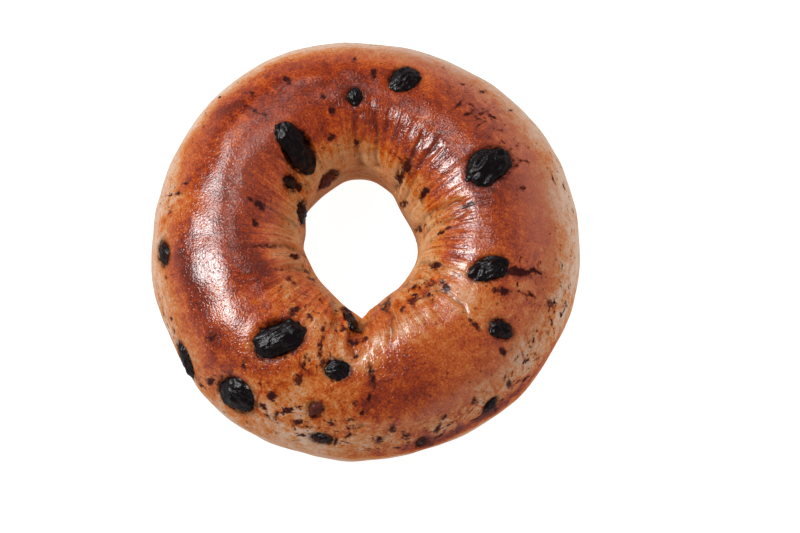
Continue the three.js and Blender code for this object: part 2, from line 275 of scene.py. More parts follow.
# Marks that raisins and cinnamon left in the crust: ring angle, section angle, length, width,
# turn of the length from the ring's direction, strength
marks = [
    (59.5, 147, 11, 2.0, 88, 0.85), (57, 134, 4, 3.0, 120, 0.8), (34, 139, 4.4, 1.6, 95, 1.0),
    (46, 168, 5, 1.5, 70, 0.7), (15, 165, 7, 1.6, 70, 0.6), (13, 155, 4, 1.0, 75, 0.6),
    (11.5, 107, 4.5, 1.3, 92, 0.8), (36, 115, 1.6, 0.8, 120, 0.8), (86, 75, 3.2, 1.3, 90, 1.0),
    (16, 90, 1.6, 1.2, 0, 0.8), (14, 68, 1.6, 1.2, 90, 0.9), (22, 69, 6.5, 0.8, 122, 0.75),
    (42, 72, 4.5, 0.9, 88, 0.8), (48, 71, 3, 1.1, 80, 0.85), (53, 72, 3.4, 0.9, 95, 0.8),
    (45, 64, 3, 0.8, 80, 0.7), (51, 47, 2.6, 0.9, 75, 0.7), (41, 40, 2, 0.8, 90, 0.6),
    (57, 53, 1.6, 0.9, 60, 0.7), (29, 59, 2.2, 0.7, 130, 0.7), (16, 40, 5, 0.8, 5, 0.5),
    (15, 28, 2, 1.6, 0, 0.5), (65, 46, 1.2, 0.8, 90, 0.5), (107.5, 128, 2.2, 1.4, 90, 0.9),
    (104, 107, 2.2, 1.3, 90, 0.9), (106, 93, 1.8, 1.3, 90, 0.6), (116, 68, 3, 1.5, 90, 1.0),
    (94, 141, 3, 0.9, 90, 0.8), (93, 63, 3, 0.7, 80, 0.7), (132, 72, 5, 0.9, 103, 0.8),
    (130, 83, 2, 0.8, 90, 0.8), (128, 62, 2.8, 1.3, 80, 0.85), (134.5, 62, 2, 0.8, 100, 0.6),
    (167, 113, 3, 2.4, 60, 0.9), (177.5, 111, 2, 1.7, 0, 1.0), (166, 104, 2, 1.0, 80, 0.6),
    (164.5, 52, 3, 0.8, 110, 0.7), (168, 48, 3, 1.2, 90, 0.75), (168, 39, 2, 1.0, 90, 0.6),
    (141, 145, 3.4, 1.7, 84, 0.95), (134.5, 35, 2, 0.7, 80, 0.6), (141, 37, 2, 0.7, 90, 0.6),
    (149, 41, 1.1, 0.7, 20, 0.6), (95, 30, 2.2, 1.0, 90, 0.35), (199.5, 142, 6, 1.5, 98, 0.7),
    (192, 115, 6, 1.3, 90, 0.6), (209, 122, 4.5, 1.1, 80, 0.55), (219, 124, 4, 2.4, 20, 0.5),
    (213, 150, 3, 2.5, 0, 0.6), (222, 147, 4, 2.0, 90, 0.5), (241, 129, 2.6, 0.8, 155, 0.9),
    (233.5, 107, 3.2, 2.2, 75, 0.8), (243, 110, 3, 1.5, 150, 0.6), (251, 107, 5, 1.4, 108, 0.6),
    (258.5, 150, 6, 1.8, 80, 0.9), (261, 118, 2, 1.6, 60, 0.8), (267, 112, 3.2, 1.7, 88, 0.9),
    (268, 97, 2.2, 1.0, 95, 0.8), (255, 84, 2.2, 1.3, 90, 0.9), (249, 67, 3, 2.4, 70, 0.65),
    (250, 82, 1.6, 0.9, 90, 0.7), (217, 52, 3.6, 2.6, 80, 0.6), (231, 56, 2.6, 1.0, 130, 0.7),
    (243, 49, 2.4, 1.9, 90, 1.0), (242, 39, 1.6, 1.0, 90, 0.8), (246, 37, 2, 1.1, 80, 0.8),
    (252, 36, 3.2, 1.9, 60, 0.75), (256, 35, 1.4, 1.0, 90, 0.7), (225, 27, 2.8, 2.0, 80, 1.0),
    (204, 25, 1.7, 1.2, 70, 0.7), (207, 21, 1.5, 1.0, 80, 0.6), (193, 36, 1.4, 0.8, 20, 0.5),
    (252, 30, 1.0, 0.7, 0, 0.8), (196, 18, 3, 0.7, 88, 0.4), (263.3, 25, 3.4, 0.9, 95, 0.8),
    (274, 79, 5.5, 2.0, 97, 0.85), (272.5, 63, 2.6, 1.1, 70, 0.9), (272, 110, 2, 1.4, 80, 0.6),
    (273, 128, 2, 1.0, 90, 0.6), (288, 142, 6.5, 2.6, 82, 0.75), (296, 119, 2.6, 1.3, 60, 0.75),
    (304, 122, 3.2, 2.2, 100, 0.8), (314.5, 118, 2, 1.1, 100, 0.9), (313, 136, 3, 2.0, 90, 0.75),
    (322, 125, 3.4, 1.2, 88, 0.7), (323, 112, 4, 2.4, 60, 0.75), (334, 132, 4.4, 1.8, 88, 0.8),
    (332, 110, 3, 1.0, 90, 0.6), (359, 134, 2.6, 1.0, 92, 0.9), (1, 126, 1.8, 1.0, 90, 0.8),
    (317.5, 77, 3.4, 1.2, 88, 0.85), (318.5, 52, 3.6, 0.8, 115, 0.7), (318, 50, 2, 1.6, 90, 0.8),
    (334, 75, 4.2, 1.7, 112, 0.95), (343, 70, 6.5, 2.3, 105, 1.0), (345.5, 58, 3.6, 1.1, 108, 0.85),
    (337, 62, 3.2, 0.9, 90, 0.6), (338, 56, 3, 1.0, 80, 0.6), (339, 38, 3.6, 2.0, 90, 0.55),
    (298, 45, 1.5, 0.9, 90, 0.6), (291, 48, 1.2, 0.8, 90, 0.5), (270.5, 53, 2, 1.0, 80, 0.9),
    (279, 38, 2.6, 1.9, 60, 0.9), (275, 27, 3.2, 2.6, 60, 0.7), (291, 24, 4, 1.3, 66, 0.85),
    (303, 33, 2.6, 2.0, 45, 0.6), (314, 27, 3.2, 1.6, 90, 0.8), (322, 35, 2.6, 0.9, 80, 0.6),
    (332, 28, 2.6, 0.9, 95, 0.6), (308, 12, 5, 1.4, 88, 0.7), (326, 40, 2, 1.0, 60, 0.5),
]

# Where small stray marks lie thickest: ring angle, section angle, reach in each, amount
strewnPatches = [
    (250, 40, 30, 28, 1.1), (300, 20, 34, 18, 1.3), (340, 65, 14, 24, 1.0), (315, 128, 28, 20, 1.2),
    (262, 120, 20, 30, 1.0), (228, 115, 14, 24, 0.8), (42, 60, 24, 18, 0.9), (172, 40, 16, 20, 0.6),
    (215, 10, 30, 20, 0.8), (255, 80, 22, 24, 0.9), (330, 30, 26, 16, 1.0),
    (130, 60, 16, 18, 0.5), (50, 140, 26, 20, 0.7), (10, 140, 20, 20, 0.6), (110, 135, 16, 18, 0.5),
    (20, 25, 40, 14, 0.5), (100, 25, 40, 12, 0.4), (200, 135, 24, 14, 0.5),
    (60, -6, 44, 16, 0.6), (150, -8, 36, 14, 0.5), (0, -8, 36, 14, 0.6), (195, -12, 24, 12, 0.5),
]

# Where the crust is lighter or darker: partly real browning, partly painted light and shade that evens out
# how the lamps fall on each side; ring angle, section angle, reach in each, amount
browningAndShadePatches = [
    (250, 105, 28, 35, -0.30), (238, 48, 12, 12, -0.1), (262, 88, 9, 20, -0.2),
    (300, 114, 26, 18, -0.22), (326, 100, 14, 30, -0.22), (350, 140, 26, 16, -0.06),
    (283, 54, 16, 14, 0.16), (172, 52, 8, 12, -0.25), (10, 118, 16, 14, -0.14),
    (200, 100, 24, 14, 0.14), (160, 95, 16, 14, 0.1), (105, 95, 25, 22, 0.08),
    (110, 137, 14, 12, -0.15), (80, 58, 12, 12, -0.14), (25, 70, 40, 14, 0.08),
    (0, 44, 34, 14, -0.14), (200, 54, 22, 11, 0.2), (195, 132, 18, 16, -0.14),
    (222, 114, 8, 14, -0.18), (285, 24, 26, 18, 0.16),
    (240, 16, 16, 16, 0.08), (200, 24, 22, 20, 0.2), (226, 30, 15, 22, 0.2),
    (318, 22, 30, 18, 0.14), (290, 100, 26, 14, -0.14), (318, 90, 14, 16, -0.1),
    (255, 56, 14, 12, -0.12), (286, 152, 20, 10, 0.14), (316, 150, 18, 10, 0.14),
    (10, 55, 45, 18, -0.16), (315, 62, 28, 20, -0.16), (160, 124, 45, 14, -0.16),
    (210, 122, 26, 12, -0.12), (155, 16, 45, 24, -0.14), (300, 8, 30, 10, 0.3),
    (15, 26, 44, 18, -0.07), (345, 32, 22, 14, -0.06), (316, 36, 16, 12, -0.05), (310, 116, 16, 12, -0.08),
    (248, 60, 16, 16, -0.15), (320, 10, 24, 12, 0.35), (330, 88, 24, 12, -0.08),
    (60, 66, 24, 12, -0.06), (90, 33, 48, 15, -0.36), (12, 96, 16, 14, 0.12),
    (215, 18, 26, 18, 0.1), (286, 8, 22, 12, 0.4), (216, 66, 14, 10, -0.1),
    (195, 26, 14, 14, -0.14), (345, 132, 30, 14, -0.12), (345, 50, 26, 16, 0.12), (60, 140, 40, 16, 0.06),
    (135, 52, 16, 12, 0.12), (200, 98, 20, 12, 0.08), (256, 98, 14, 12, 0.08), (300, 157, 26, 10, 0.1),
    (255, 38, 14, 12, -0.12), (165, 116, 14, 10, 0.1), (225, 128, 14, 14, 0.08), (45, 132, 14, 14, -0.08),
]
toastProfile = {
    "level": 0.8,  # on the crown
    "outerPale": 0.1,
    "outerFrom": 14.0,  # section angles where browning starts and is full
    "outerTo": 62.0,
    "innerFull": 116.0,
    "innerPale": 158.0,
    "innerLevel": 0.2,
    "wallFrom": 156.0,  # darker again down the wall of the hole, as painted shade
    "wallTo": 184.0,
    "wallShadeBy": 0.04,
    "rimAt": -30.0,  # the browned rim round the underside
    "rimWidth": 18.0,
    "rimLevel": 0.82,
    "highRims": [(286, 30, 26), (205, 24, 6), (120, 34, -5), (30, 22, 6)],  # ring angle, reach, degrees
    "belowSpan": (226.0, 246.0),  # where the wall of the hole turns into the underside
}

# Where the glaze is thinner or thicker, and where a painted mauve sheen stands in for the glaze's soft hazy
# reflection
glazePatches = [
    (108, 82, 30, 34, -0.75), (72, 74, 22, 14, -0.4), (20, 60, 45, 20, -0.6), (345, 62, 24, 18, -0.5),
    (250, 70, 20, 40, -0.45), (222, 100, 16, 18, -0.3), (300, 60, 30, 16, -0.3), (297, 97, 26, 17, 1.2),
    (133, 72, 14, 18, -0.5), (205, 89, 28, 11, -0.6), (164, 62, 12, 9, -0.4), (224, 64, 10, 9, 0.4),
    (15, 95, 14, 10, -0.5), (78, 98, 10, 10, -0.5),
]
paintedSheenPatches = [
    (12, 58, 48, 17, 0.6), (66, 46, 26, 12, 0.35), (150, 92, 30, 12, 0.2), (310, 42, 26, 12, 0.2),
    (195, 134, 44, 18, 0.4),
]


def fromBelow(section):
    # section angles counted from -90, straight down, outward and up, round to 270
    return (section + 90.0) % 360.0 - 90.0


def patchesAt(ring, turned, patches, joined=np.add):
    # soft patches: ring angle, section angle, reach in each, amount
    total = np.zeros(ring.shape)
    for atRing, atSection, ringReach, sectionReach, by in patches:
        away = (turnFrom(ring, atRing) / ringReach) ** 2 + (turnFrom(turned, atSection) / sectionReach) ** 2
        total = joined(total, by * np.exp(-away))
    return total


def toastedness(ring, section):
    # 0 is pale dough, 1 is the darkest mahogany crust
    bake = toastProfile
    turned = fromBelow(section)
    outer = smoothStep(turned, bake["outerFrom"], bake["outerTo"])
    inner = 1.0 - smoothStep(turned, bake["innerFull"], bake["innerPale"])
    base = np.where(turned < 90.0, bake["outerPale"] + (bake["level"] - bake["outerPale"]) * outer,
                    bake["innerLevel"] + (bake["level"] - bake["innerLevel"]) * inner)
    base = base + bake["wallShadeBy"] * smoothStep(turned, bake["wallFrom"], bake["wallTo"])
    base = base + patchesAt(ring, turned, browningAndShadePatches)
    rim = bake["rimAt"] + sumOfSwells(ring, bake["highRims"])
    below = np.maximum(1.0 - smoothStep(turned, rim - bake["rimWidth"], rim),
                       smoothStep(turned, *bake["belowSpan"]))
    return base + (bake["rimLevel"] - base) * below, below


def newAttribute(mesh, name, values, kind="FLOAT"):
    field = "vector" if kind == "FLOAT_VECTOR" else "value"
    attribute = mesh.attributes.new(name, kind, "POINT")
    attribute.data.foreach_set(field, np.ascontiguousarray(values, dtype=np.float32).ravel())


def modifierInput(modifier, name, value):
    for item in modifier.node_group.interface.items_tree:
        if item.name == name and item.in_out == "INPUT":
            modifier[item.identifier] = value


def applyModifiers(piece):
    # turn the piece into a plain mesh, shaded smooth
    bpy.context.view_layer.update()
    graph = bpy.context.evaluated_depsgraph_get()
    mesh = bpy.data.meshes.new_from_object(piece.evaluated_get(graph), depsgraph=graph)
    piece.modifiers.clear()
    piece.data = mesh
    mesh.polygons.foreach_set("use_smooth", np.ones(len(mesh.polygons), dtype=bool))


def keepAbove(mesh, height):
    # nothing of the mesh reaches below the given height
    places = np.empty(len(mesh.vertices) * 3, np.float32)
    mesh.vertices.foreach_get("co", places)
    places = places.reshape(-1, 3)
    places[:, 2] = np.maximum(places[:, 2], height)
    mesh.vertices.foreach_set("co", places.ravel())


def newTree(name, sizes):
    tree = bpy.data.node_groups.new(name, "GeometryNodeTree")
    tree.interface.new_socket("Geometry", in_out="INPUT", socket_type="NodeSocketGeometry")
    for size in sizes:
        tree.interface.new_socket(size, in_out="INPUT", socket_type="NodeSocketFloat")
    tree.interface.new_socket("Material", in_out="INPUT", socket_type="NodeSocketMaterial")
    tree.interface.new_socket("Geometry", in_out="OUTPUT", socket_type="NodeSocketGeometry")
    return tree, put(tree, "NodeGroupInput").outputs


def endTree(tree, geometry, material):
    real = put(tree, "GeometryNodeRealizeInstances", {0: geometry}).outputs[0]
    done = put(tree, "GeometryNodeSetMaterial", {"Geometry": real, "Material": material}).outputs[0]
    put(tree, "NodeGroupOutput", {0: done})


def noiseAround(tree, vector, size, detail, roughness, seed=None, swirl=0.0):
    # noise centred on zero, with features of about the given size
    inputs = {
        "Vector": vector,
        "Scale": maths(tree, "DIVIDE", 1.0, size),
        "Detail": detail,
        "Roughness": roughness,
        "Distortion": swirl,
    }
    settings = {}
    if seed is not None:
        settings["noise_dimensions"] = "4D"
        inputs["W"] = seed
    noise = put(tree, "ShaderNodeTexNoise", inputs, **settings)
    return maths(tree, "SUBTRACT", noise.outputs["Fac"], 0.5)


# The crust's relief. Heights and sizes in metres
reliefSizes = {
    "Lump Height": 1.3 * mm,
    "Lump Size": 10.0 * mm,
    "Blister Height": 0.13 * mm,
    "Blister Size": 1.3 * mm,
    "Wrinkle Depth": 0.8 * mm,
    "Wrinkle Size": 3.2 * mm,
    "Fold Depth": 0.35 * mm,
    "Fold Size": 4.5 * mm,
    "Seed": 4.0,
}
reliefDetail = {  # how detailed each noise is, and how rough its details
    "Lump": (1.0, 0.4),
    "Blister": (3.0, 0.6),
    "Wrinkle": (2.0, 0.6),
    "Fold": (1.0, 0.5),
}
foldShape = {"steepness": 12.0, "level": 0.85}  # the level of the smooth crust between valley and ridge


def times(tree, a, b):
    return maths(tree, "MULTIPLY", a, b)


def pushedOut(tree, geometry, height):
    # the geometry with each point moved along its normal
    normal = put(tree, "GeometryNodeInputNormal").outputs[0]
    offset = put(tree, "ShaderNodeVectorMath", {0: normal, "Scale": height}, operation="SCALE").outputs[0]
    return put(tree, "GeometryNodeSetPosition", {"Geometry": geometry, "Offset": offset}).outputs[0]


def reliefTree():
    tree, sizes = newTree("crustRelief", list(reliefSizes))

    def attribute(name, kind="FLOAT"):
        node = put(tree, "GeometryNodeInputNamedAttribute", {"Name": name}, data_type=kind)
        return node.outputs["Attribute"]

    def noise(name, vector):
        return noiseAround(tree, vector, sizes[name + " Size"], *reliefDetail[name], sizes["Seed"])

    place = put(tree, "GeometryNodeInputPosition").outputs[0]
    lumps = times(tree, noise("Lump", place), sizes["Lump Height"])
    blisters = times(tree, noise("Blister", place), sizes["Blister Height"])
    blisters = times(tree, blisters, attribute("blistered"))
    grain = attribute("acrossGrain", "FLOAT_VECTOR")
    wrinkles = times(tree, noise("Wrinkle", grain), sizes["Wrinkle Depth"])
    # folds: flat bands with a sharp valley where the noise crosses its middle
    folded = times(tree, maths(tree, "ABSOLUTE", noise("Fold", grain)), foldShape["steepness"])
    folded = maths(tree, "SUBTRACT", maths(tree, "MINIMUM", folded, 1.0), foldShape["level"])
    wrinkles = maths(tree, "ADD", wrinkles, times(tree, folded, sizes["Fold Depth"]))
    wrinkles = times(tree, wrinkles, attribute("wrinkled"))
    height = maths(tree, "ADD", maths(tree, "ADD", lumps, blisters), wrinkles)
    height = times(tree, height, attribute("free"))
    endTree(tree, pushedOut(tree, sizes["Geometry"], height), sizes["Material"])
    return tree


# Fineness of the dough's mesh: rows are closest on the upper crust
doughMesh = {"ringSteps": 420, "upperFrom": -26.0, "upperTo": 206.0, "upperRows": 176, "lowerRows": 54}

# Section angles where each look of the crust begins and is full, or starts to fade and is gone
crustBands = {
    "free": (34.0, 46.0),  # from straight down: free of the tray
    "underside": (220.0, 250.0),
    "inner": (96.0, 136.0),
    "wall": (158.0, 180.0),
    "wrinkled": (84.0, 118.0),
    "wrinkledEnd": (142.0, 172.0),
    "blistered": (10.0, 50.0),
    "blisteredEnd": (120.0, 160.0),
    "dull": (146.0, 172.0),
    "dullOutsideEnd": (2.0, 26.0),
}
fieldSizes = {
    "markSpan": (-1.0, 0.9),  # from a mark's heart to past its edge, over half its length
    "creaseShare": 0.5,  # of a furrow's width that gets painted shade
    "pocketReach": 0.75,  # millimetres of dark crust beside a raisin
    "fewestBlisters": 0.25,
    "thickestGlaze": 2.4,
    "streakRing": 33.5,  # radii in millimetres of the coordinates for streaks and fibres
    "streakTube": 2.5,
    "fibreRing": 9.0,
    "fibreTube": 19.4,
}


def doughGrid():
    # ring and section angles of the mesh's points
    upperFrom, upperTo = doughMesh["upperFrom"], doughMesh["upperTo"]
    upper = np.linspace(upperFrom, upperTo, doughMesh["upperRows"], endpoint=False)
    lower = np.linspace(upperTo, upperFrom + 360.0, doughMesh["lowerRows"], endpoint=False)
    around = np.arange(doughMesh["ringSteps"]) * 360.0 / doughMesh["ringSteps"]
    return np.meshgrid(around, np.concatenate([upper, lower]), indexing="ij")


def closedQuads(steps, rows):
    # the faces of a grid that closes on itself both ways
    i, j = np.meshgrid(np.arange(steps), np.arange(rows), indexing="ij")
    nextI, nextJ = (i + 1) % steps, (j + 1) % rows
    quads = np.stack([i * rows + j, nextI * rows + j, nextI * rows + nextJ, i * rows + nextJ], -1)
    return quads.reshape(-1, 4).tolist()


def freeOfTray(section):
    return smoothStep(np.abs(turnFrom(section, 270.0)), *crustBands["free"])


def markedness(ring, section):
    smudge = np.zeros(ring.shape)
    for atRing, atSection, length, width, turn, strength in marks:
        away = ovalDistance(ring, section, (atRing, atSection), length, width, turn) / (length / 2)
        smudge = np.maximum(smudge, strength * (1.0 - smoothStep(away, *fieldSizes["markSpan"])))
    return smudge


def pocketShade(ring, section):
    # how strongly each place beside a raisin gets painted shade
    pocket = np.zeros(ring.shape)
    for row in raisins:
        away = np.maximum(raisinDistance(ring, section, row), 0)
        pocket = np.maximum(pocket, np.exp(-(away / fieldSizes["pocketReach"]) ** 2))
    return pocket


def crustFields(ring, section):
    # what the relief and the material read at each point of the crust
    turned = fromBelow(section)

    def band(name):
        return smoothStep(turned, *crustBands[name])

    toast, below = toastedness(ring, section)
    crease = sum(furrowDepth(ring, section % 360.0, path, 1.0, width * fieldSizes["creaseShare"])
                 for path, _, width in furrows)
    blistered = band("blistered") * (1.0 - band("blisteredEnd"))
    fewest = fieldSizes["fewestBlisters"]
    notBelow = 1.0 - band("underside")
    glaze = 1.0 + patchesAt(ring, turned, glazePatches)
    return {
        "toast": toast,
        "below": below,
        "smudge": markedness(ring, section),
        "strewn": patchesAt(ring, turned, strewnPatches, np.maximum),
        "crease": np.clip(crease, 0, 1),
        "pocket": pocketShade(ring, section),
        "wrinkled": band("wrinkled") * (1.0 - band("wrinkledEnd")),
        "blistered": blistered * (1.0 - fewest) + fewest,
        "free": freeOfTray(section),
        "dull": np.maximum(band("dull"), 1.0 - band("dullOutsideEnd")),
        "inner": band("inner") * notBelow,
        "wall": band("wall") * notBelow,
        "glaze": np.clip(glaze, 0.0, fieldSizes["thickestGlaze"]),
        "paintedSheen": patchesAt(ring, turned, paintedSheenPatches),
    }


def grainFields(ring, section):
    # coordinates in which an even noise becomes streaks across the ring, or fibres along it
    def grain(ringRadius, tubeRadius, tubeAside):
        return np.stack([ringRadius * np.cos(np.radians(ring)),
                         ringRadius * np.sin(np.radians(ring)) + tubeAside * np.cos(np.radians(section)),
                         tubeRadius * np.sin(np.radians(section))], -1) * mm

    fibreTube = fieldSizes["fibreTube"]
    return {
        "acrossGrain": grain(fieldSizes["streakRing"], fieldSizes["streakTube"], 0.0),
        "alongGrain": grain(fieldSizes["fibreRing"], fibreTube, fibreTube),
    }


def doughPiece(material):
    ring, section = doughGrid()
    raised = crustRelief(ring, section) * freeOfTray(section)
    points = plainPoint(ring, section) + crustAxes(ring, section)[2] * raised[..., None]
    points[..., 2] = np.maximum(points[..., 2], 0.0)
    points = (points + ringSizes["middle"]) * mm
    mesh = bpy.data.meshes.new("dough")
    mesh.from_pydata(points.reshape(-1, 3).tolist(), [], closedQuads(*ring.shape))
    for name, values in crustFields(ring, section).items():
        newAttribute(mesh, name, values)
    for name, values in grainFields(ring, section).items():
        newAttribute(mesh, name, values, "FLOAT_VECTOR")

    piece = bpy.data.objects.new("crust", mesh)
    scene.collection.objects.link(piece)
    modifier = piece.modifiers.new("relief", "NODES")
    modifier.node_group = reliefTree()
    for name, value in reliefSizes.items():
        modifierInput(modifier, name, value)
    modifierInput(modifier, "Material", material)
    applyModifiers(piece)
    keepAbove(piece.data, 0.0)
    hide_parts("dough")
    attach(piece, "root")
    print("crust:", len(piece.data.polygons), "faces")


def raisinTree():
    tree, sizes = newTree("raisin", ["Half Length", "Half Width", "Half Depth", "Waist", "Taper",
                                     "Wrinkle Depth", "Wrinkle Size", "Lump Depth", "Lump Size", "Seed"])
    ball = put(tree, "GeometryNodeMeshIcoSphere", {"Radius": 1.0, "Subdivisions": raisinSizes["fineness"]})
    place = put(tree, "GeometryNodeInputPosition").outputs[0]
    x, y, z = put(tree, "ShaderNodeSeparateXYZ", {0: place}).outputs
    middle = maths(tree, "EXPONENT", times(tree, times(tree, x, x), -raisinSizes["waistSharpness"]))
    narrow = maths(tree, "SUBTRACT", 1.0, times(tree, middle, sizes["Waist"]))
    narrow = maths(tree, "MULTIPLY_ADD", x, sizes["Taper"], narrow)
    shaped = put(tree, "ShaderNodeCombineXYZ", {
        0: times(tree, x, sizes["Half Length"]),
        1: times(tree, times(tree, y, sizes["Half Width"]), narrow),
        2: times(tree, z, sizes["Half Depth"]),
    }).outputs[0]
    body = put(tree, "GeometryNodeSetPosition", {"Geometry": ball.outputs[0], "Position": shaped})
    place = put(tree, "GeometryNodeInputPosition").outputs[0]
    lumps = noiseAround(tree, place, sizes["Lump Size"], *raisinSizes["lumpDetail"], sizes["Seed"])
    lumps = times(tree, lumps, sizes["Lump Depth"])
    # wrinkles run mostly along the raisin, and are sharp in their valleys
    stretch = {0: place, 1: (raisinSizes["lengthwise"], 1.0, 1.0)}
    place = put(tree, "ShaderNodeVectorMath", stretch, operation="MULTIPLY").outputs[0]
    folded = noiseAround(tree, place, sizes["Wrinkle Size"], *raisinSizes["wrinkleDetail"], sizes["Seed"])
    folded = times(tree, maths(tree, "ABSOLUTE", folded), raisinSizes["foldSteepness"])
    folded = maths(tree, "SUBTRACT", folded, raisinSizes["foldLow"])
    folded = maths(tree, "MINIMUM", folded, raisinSizes["foldHigh"])
    height = maths(tree, "ADD", lumps, times(tree, folded, sizes["Wrinkle Depth"]))
    endTree(tree, pushedOut(tree, body.outputs[0], height), sizes["Material"])
    return tree


def raisinPiece(number, row, tree, material):
    ring, section, length, width, proud, turn, waist, taper, veil = row
    name = f"raisin_{number:02d}"
    piece = bpy.data.objects.new(name + "_skin", bpy.data.meshes.new(name))
    scene.collection.objects.link(piece)
    modifier = piece.modifiers.new("raisin", "NODES")
    modifier.node_group = tree
    size = raisinSizes
    small = min(1.0, width / size["smallBelow"])
    for key, value in {
        "Half Length": length / 2 / size["crustShare"],
        "Half Width": width / 2 / size["crustShare"],
        "Half Depth": width * size["halfDepth"],
        "Wrinkle Depth": size["wrinkleDepth"] * small,
        "Wrinkle Size": size["wrinkleSize"] * (1.0 + small) / 2,
        "Lump Depth": size["lumpDepth"] * small,
        "Lump Size": size["lumpSize"] * small,
    }.items():
        modifierInput(modifier, key, value * mm)
    modifierInput(modifier, "Waist", waist)
    modifierInput(modifier, "Taper", taper)
    modifierInput(modifier, "Seed", float(number))
    modifierInput(modifier, "Material", material)
    applyModifiers(piece)
    place = np.float64(ring), np.float64(section)
    along, across, out = crustAxes(*place)
    centre = plainPoint(*place) + out * (proud - width * size["halfDepth"])
    centre = (centre + ringSizes["middle"]) * mm
    axes = Matrix(np.stack([along, across, out], -1).tolist()).to_4x4()
    turned = Matrix.Rotation(math.radians(turn), 4, "Z")
    piece.data.transform(Matrix.Translation(Vector(centre)) @ axes @ turned)
    keepAbove(piece.data, size["pressedFlatAt"] * mm)
    newAttribute(piece.data, "veil", np.full(len(piece.data.vertices), veil))
    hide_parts(name)
    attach(piece, "root")


def newMaterial(name):
    material = bpy.data.materials.new(name)
    material.use_nodes = True
    tree = material.node_tree
    tree.nodes.clear()
    return material, tree


def mapped(tree, value, low, high, toLow=0.0, toHigh=1.0, smooth=False):
    kind = "SMOOTHSTEP" if smooth else "LINEAR"
    inputs = {"Value": value, "From Min": low, "From Max": high, "To Min": toLow, "To Max": toHigh}
    return put(tree, "ShaderNodeMapRange", inputs, interpolation_type=kind).outputs[0]


def mixed(tree, share, a, b, blend="MIX"):
    node = put(tree, "ShaderNodeMix", {"Factor": share}, data_type="RGBA", blend_type=blend)
    for socket, value in ((node.inputs[6], a), (node.inputs[7], b)):
        if isinstance(value, bpy.types.NodeSocket):
            tree.links.new(value, socket)
        else:
            socket.default_value = value
    return node.outputs[2]


def readAttribute(tree, name, output="Fac"):
    return put(tree, "ShaderNodeAttribute", attribute_name=name).outputs[output]


def cellPattern(tree, place, spacing):
    return put(tree, "ShaderNodeTexVoronoi", {"Vector": place, "Scale": 1.0 / (spacing * mm)}).outputs


def colourRamp(tree, value, tones):
    ramp = put(tree, "ShaderNodeValToRGB", {0: value})
    elements = ramp.color_ramp.elements
    while len(elements) < len(tones):
        elements.new(0.5)
    for element, (at, colour) in zip(elements, tones):
        element.position = at
        element.color = screenColour(*colour)
    return ramp.outputs[0]


def coatedSurface(tree, look, colour, rough, shine, heights):
    # a glossy coat over a matte colour, both bumped alike
    bump = put(tree, "ShaderNodeBump", {
        "Strength": 1.0,
        "Distance": look["bumpHeight"] * mm,
        "Height": heights,
    }).outputs[0]
    shader = put(tree, "ShaderNodeBsdfPrincipled", {
        "Base Color": colour,
        "Roughness": rough,
        "Specular IOR Level": look["specular"],
        "Normal": bump,
        "Coat Weight": shine,
        "Coat IOR": look["coatIor"],
        "Coat Roughness": look["coatRoughness"],
        "Coat Normal": bump,
    })
    put(tree, "ShaderNodeOutputMaterial", {"Surface": shader.outputs[0]})


